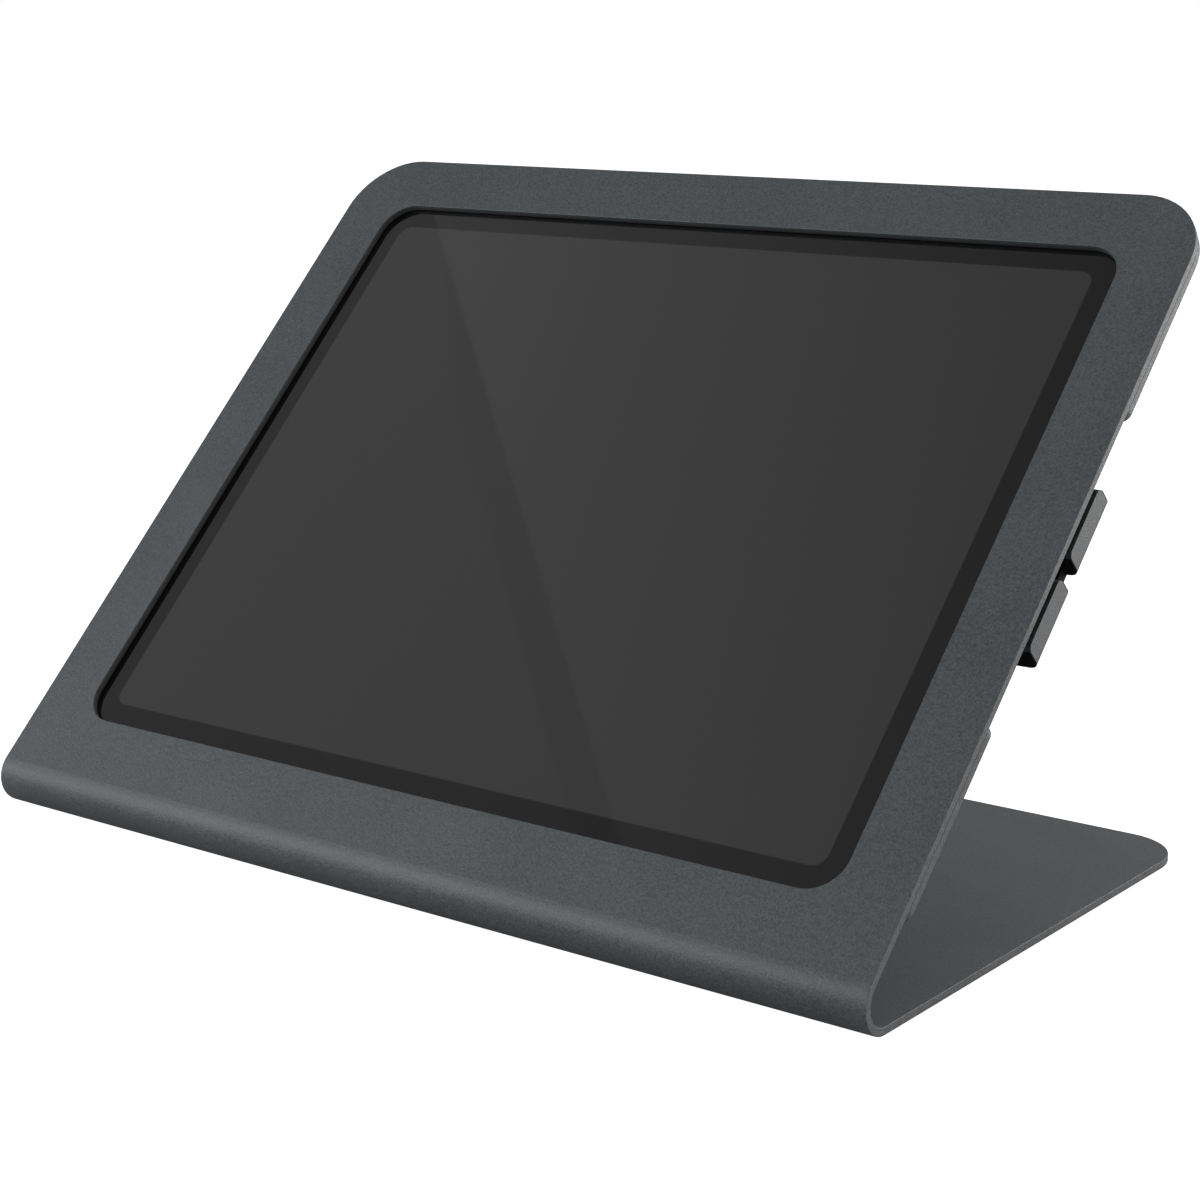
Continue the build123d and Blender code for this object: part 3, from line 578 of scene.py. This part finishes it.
def makeMoulding(name, replaced, width):
    # the same moulding with its sharp edges rounded
    mesh = mergedCopy(replaced)
    bmesh.ops.dissolve_limit(mesh, angle_limit=flatAngle, verts=mesh.verts, edges=mesh.edges)
    finishPiece(mesh, name, "rubber", replaced, bevel=width)


studLook = {
    "pitch": 0.0007,
    "depth": 0.00028,
    "steps": 20,
    "foot": 0.0002,                     # chamfer at the pressed end
    "plainStart": 0.0004,
    "plainEnd": 0.0003,
    "tip": 0.0001,
}


def makeThreadedStuds(look):
    # pressed studs with their threads cut as close rings
    mesh = bmesh.new()
    for low, high in solidBoxes("panel_studs", leanTurn.inverted()):
        radius = (high.x - low.x) / 2
        length = high.z - low.z
        root = radius - look["depth"]
        profile = [(0, 0), (root - look["foot"], 0), (root, look["foot"])]
        height = look["plainStart"]
        while height + look["pitch"] < length - look["plainEnd"]:
            profile += [(radius, height + look["pitch"] / 2), (root, height + look["pitch"])]
            height += look["pitch"]
        profile += [(radius, length - look["tip"]), (radius, length), (0, length)]
        middle = (low + high) / 2
        addLathe(mesh, profile, Matrix.Translation((middle.x, middle.y, low.z)), look["steps"])
    mesh.transform(leanTurn)
    finishPiece(mesh, "threaded_studs", "zinc", "panel_studs", smooth=False)


contactLook = {
    "count": 6,
    "width": 0.0004,
    "length": 0.0030,
    "height": 0.00005,
    "setback": 0.0003,
    "cuts": (3, 0, 0),
}


def makePortContacts(look):
    # gold contacts on both faces of the port's tongue
    low, high = solidBoxes("port_tongue", leanTurn.inverted())[0]
    mesh = bmesh.new()
    pitch = (high.y - low.y) / (look["count"] + 1)
    for step in range(look["count"]):
        y = low.y + (step + 1) * pitch
        for face, away in ((low.z, -1), (high.z, 1)):
            inner = Vector((high.x - look["length"] - look["setback"], y - look["width"] / 2, face))
            outer = Vector((high.x - look["setback"], y + look["width"] / 2, face + away * look["height"]))
            lowest = Vector([min(pair) for pair in zip(inner, outer)])
            highest = Vector([max(pair) for pair in zip(inner, outer)])
            addBlock(mesh, lowest, highest, look["cuts"])
    mesh.transform(leanTurn)
    finishPiece(mesh, "port_contacts", "gold", None, smooth=False)


makeFeet(footLook)
makePads(padLook)
makeBumpers("ribbed_side_bumpers", "side_bumpers", bumperLook)
makeBumpers("ribbed_edge_bumpers", "edge_bumpers", bumperLook)
# the flange liners are black rubber sheets put where the flanges' ends fall into shade: painted shade
makeMoulding("moulded_shade_liners", "flange_liners", mouldingRounding["liners"])
makeMoulding("moulded_grommets", "cable_grommets", mouldingRounding["grommets"])
makeMoulding("moulded_gasket", "display_gasket", mouldingRounding["gasket"])
makeThreadedStuds(studLook)
makePortContacts(contactLook)
print("small parts made")


cameraView = {
    "lens": 76.32,
    "azimuth": 37.01,
    "elevation": 11.93,
    "distance": 0.7638,
    "aim": (0.0096, 0.0061, 0.0886),
    "shift": (-0.0181, -0.0422),
    "clipStart": 0.05,
}


def sphereDirection(azimuth, elevation):
    turn, rise = radians(azimuth), radians(elevation)
    return Vector((sin(turn) * cos(rise), -cos(turn) * cos(rise), sin(rise)))


def cameraPlace(view):
    return Vector(view["aim"]) + sphereDirection(view["azimuth"], view["elevation"]) * view["distance"]


def makeCamera(view):
    data = bpy.data.cameras.new("camera")
    data.lens = view["lens"]
    data.shift_x, data.shift_y = view["shift"]
    data.clip_start = view["clipStart"]
    camera = bpy.data.objects.new("camera", data)
    camera.location = cameraPlace(view)
    back = sphereDirection(view["azimuth"], view["elevation"])
    camera.rotation_euler = back.to_track_quat("Z", "Y").to_euler()
    scene.collection.objects.link(camera)
    scene.camera = camera


floorLook = {"size": 8.0, "color": (0.42, 0.42, 0.42), "roughness": 0.9, "cloud": 0.4, "paler": 0.96}


def makeFloor(look):
    # a pale sheet that burns out to white where it is seen directly
    bpy.ops.mesh.primitive_plane_add(size=look["size"])
    floor = bpy.context.object
    floor.name = "floor"
    material, shader = newMaterial("floor paper", look["color"], look["roughness"])
    tone = blotches(material, objectPlace(material), look["cloud"], 2.0)
    paler = tuple(look["paler"] * part for part in look["color"])
    join(material, mixColors(material, tone, look["color"], paler), shader.inputs["Base Color"])
    shader.inputs["Emission Color"].default_value = (1, 1, 1, 1)
    path = addNode(material, "ShaderNodeLightPath")
    join(material, path.outputs["Is Camera Ray"], shader.inputs["Emission Strength"])
    floor.data.materials.append(material)


lightAim = Vector((0, 0, 0.09))

softboxes = {
    # azimuth, elevation, distance, width and height, watts and colour
    "right softbox": (95, 5, 1.8, (1.2, 0.9), 23, (1.0, 0.89, 0.82)),
    "rear low softbox": (142, 4, 2.0, (1.2, 0.8), 24, (1, 1, 1)),
    "left front softbox": (-38, 16, 1.3, (1.1, 0.85), 11.5, (1, 1, 1)),
    "rear softbox": (165, 62, 2.0, (1.6, 1.2), 13.5, (1, 1, 1)),
}


def makeSoftbox(name, azimuth, elevation, distance, size, power, color):
    # a rectangular area light that faces the kiosk
    data = bpy.data.lights.new(name, "AREA")
    data.shape = "RECTANGLE"
    data.size, data.size_y = size
    data.energy = power
    data.color = color
    light = bpy.data.objects.new(name, data)
    back = sphereDirection(azimuth, elevation)
    light.location = lightAim + back * distance
    light.rotation_euler = back.to_track_quat("Z", "Y").to_euler()
    scene.collection.objects.link(light)


roomLevel = 0.40
seenLevel = 1.0


def makeWorld(strength, seen):
    # the room is white, and brighter where it is seen directly
    world = bpy.data.worlds.new("studio")
    world.use_nodes = True
    tree = world.node_tree
    background = tree.nodes["Background"]
    background.inputs["Color"].default_value = (1, 1, 1, 1)
    path = tree.nodes.new("ShaderNodeLightPath")
    level = tree.nodes.new("ShaderNodeMapRange")
    level.inputs["To Min"].default_value = strength
    level.inputs["To Max"].default_value = seen
    tree.links.new(path.outputs["Is Camera Ray"], level.inputs["Value"])
    tree.links.new(level.outputs["Result"], background.inputs["Strength"])
    scene.world = world


cardLook = {
    # where the card's edge shows in the screen, as shares of the lit width from its left
    "edgeTop": 0.058,
    "edgeBottom": 0.747,
    "bright": roomLevel + 0.105,
    "dim": roomLevel - 0.08,
    "wedge": roomLevel - 0.05,
    "wedgeWidth": 0.06,
    "wedgeTop": 0.90,
    "wedgeTaper": 0.25,
    "wedgeLeast": 0.001,
    "farEdge": 1.6,
    "lowest": -0.3,                     # in shares of the lit height
    "span": 1.6,
    "fadeAcross": 1.30,
    "fadeUp": 0.53,
    "fadeStart": 0.67,
    "segments": 10,
    "distance": 2.5,
}


def screenPoint(across, up):
    # a point on the glass, from shares of the lit area's width and height
    width, height = screenLook["litSize"]
    local = Vector(((across - 0.5) * width, (up - 0.5) * height, 0))
    return Vector((0, glassMiddle.y, glassMiddle.z)) + leanTurn.to_3x3() @ local


def cardPoint(across, up, distance):
    # the place on a card, square to the mirrored view, that a point of the screen reflects
    normal = leanTurn.to_3x3() @ Vector((0, 0, 1))
    eye = cameraPlace(cameraView)
    middle = screenPoint(0.5, 0.5)
    mirrored = eye - 2 * normal * (eye - middle).dot(normal)
    square = (middle - mirrored).normalized()
    ray = (screenPoint(across, up) - mirrored).normalized()
    reach = ((middle - mirrored).length + distance) / ray.dot(square)
    return mirrored + ray * reach


def makeCard(look):
    # a soft reflector whose edge runs across the screen, fading towards its right, and its dim rim
    mesh = bmesh.new()
    layer = mesh.loops.layers.uv.new("fade")

    def cardEdge(up):
        return look["edgeBottom"] + (look["edgeTop"] - look["edgeBottom"]) * up

    def rimWidth(up):
        taper = look["wedgeTaper"] * (look["wedgeTop"] - up)
        return max(look["wedgeLeast"], min(look["wedgeWidth"], taper))

    for rim in (False, True):
        faces = len(mesh.faces)
        made = bmesh.ops.create_grid(
            mesh, x_segments=look["segments"], y_segments=look["segments"], size=0.5
        )["verts"]
        mesh.faces.ensure_lookup_table()
        shares = {}
        for vert in made:
            up = look["lowest"] + look["span"] * (vert.co.y + 0.5)
            edge = cardEdge(up)
            inner, outer = (edge - rimWidth(up), edge) if rim else (edge, look["farEdge"])
            shares[vert] = (inner + (outer - inner) * (vert.co.x + 0.5), up)
        for face in mesh.faces[faces:]:
            for loop in face.loops:
                across, up = shares[loop.vert]
                fade = look["fadeAcross"] * across + look["fadeUp"] * up - look["fadeStart"]
                level = look["bright"] + (look["dim"] - look["bright"]) * fade
                loop[layer].uv = (look["wedge"] if rim else level, 0)
        for vert, share in shares.items():
            vert.co = cardPoint(*share, look["distance"])
    data = bpy.data.meshes.new("card")
    mesh.to_mesh(data)
    mesh.free()
    material = bpy.data.materials.new("card glow")
    material.use_nodes = True
    tree = material.node_tree
    tree.nodes.remove(tree.nodes["Principled BSDF"])
    glow = tree.nodes.new("ShaderNodeEmission")
    stored = addNode(material, "ShaderNodeUVMap", uv_map="fade")
    split = addNode(material, "ShaderNodeSeparateXYZ")
    join(material, stored.outputs["UV"], split.inputs["Vector"])
    join(material, split.outputs["X"], glow.inputs["Strength"])
    join(material, glow.outputs["Emission"], tree.nodes["Material Output"].inputs["Surface"])
    data.materials.append(material)
    card = bpy.data.objects.new("card", data)
    scene.collection.objects.link(card)


makeCamera(cameraView)
makeFloor(floorLook)
makeWorld(roomLevel, seenLevel)
makeCard(cardLook)
for lightName, light in softboxes.items():
    makeSoftbox(lightName, *light)
scene.view_settings.view_transform = "Standard"
print("studio ready")
